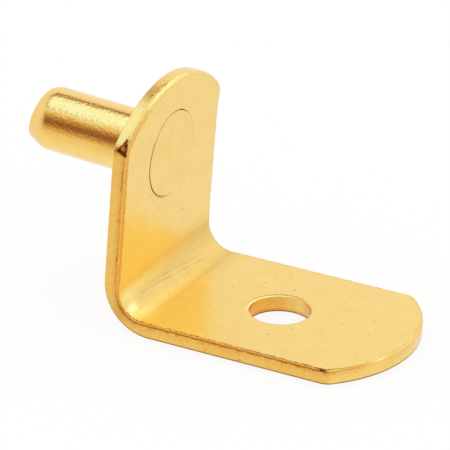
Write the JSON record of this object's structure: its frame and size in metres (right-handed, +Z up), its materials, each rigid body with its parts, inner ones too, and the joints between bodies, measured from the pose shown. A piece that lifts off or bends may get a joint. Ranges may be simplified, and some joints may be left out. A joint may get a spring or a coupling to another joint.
{
  "type": "shelf support pin",
  "caption": "L-shaped shelf support pin: a folded metal plate with arc-cut ends, a screw hole in its level seat leg and a round peg standing out of its wall leg.",
  "frame": {"origin": "on the peg's axis, at the wall face that bears on the cabinet side, in the middle of the width", "axes": "+Z up, square to the level seat leg; +X along the seat leg, away from the cabinet side; the peg points towards -X and rises 3.4 degrees, square to the wall leg"},
  "size_m": [0.032, 0.0148, 0.0181],
  "materials": {
    "plate": "tumbled and brass-plated steel, satin gloss",
    "peg": "turned and brass-plated steel, satin gloss"
  },
  "bodies": {
    "root": {"bracket": "plate", "peg": "peg"}
  },
  "joints": []
}
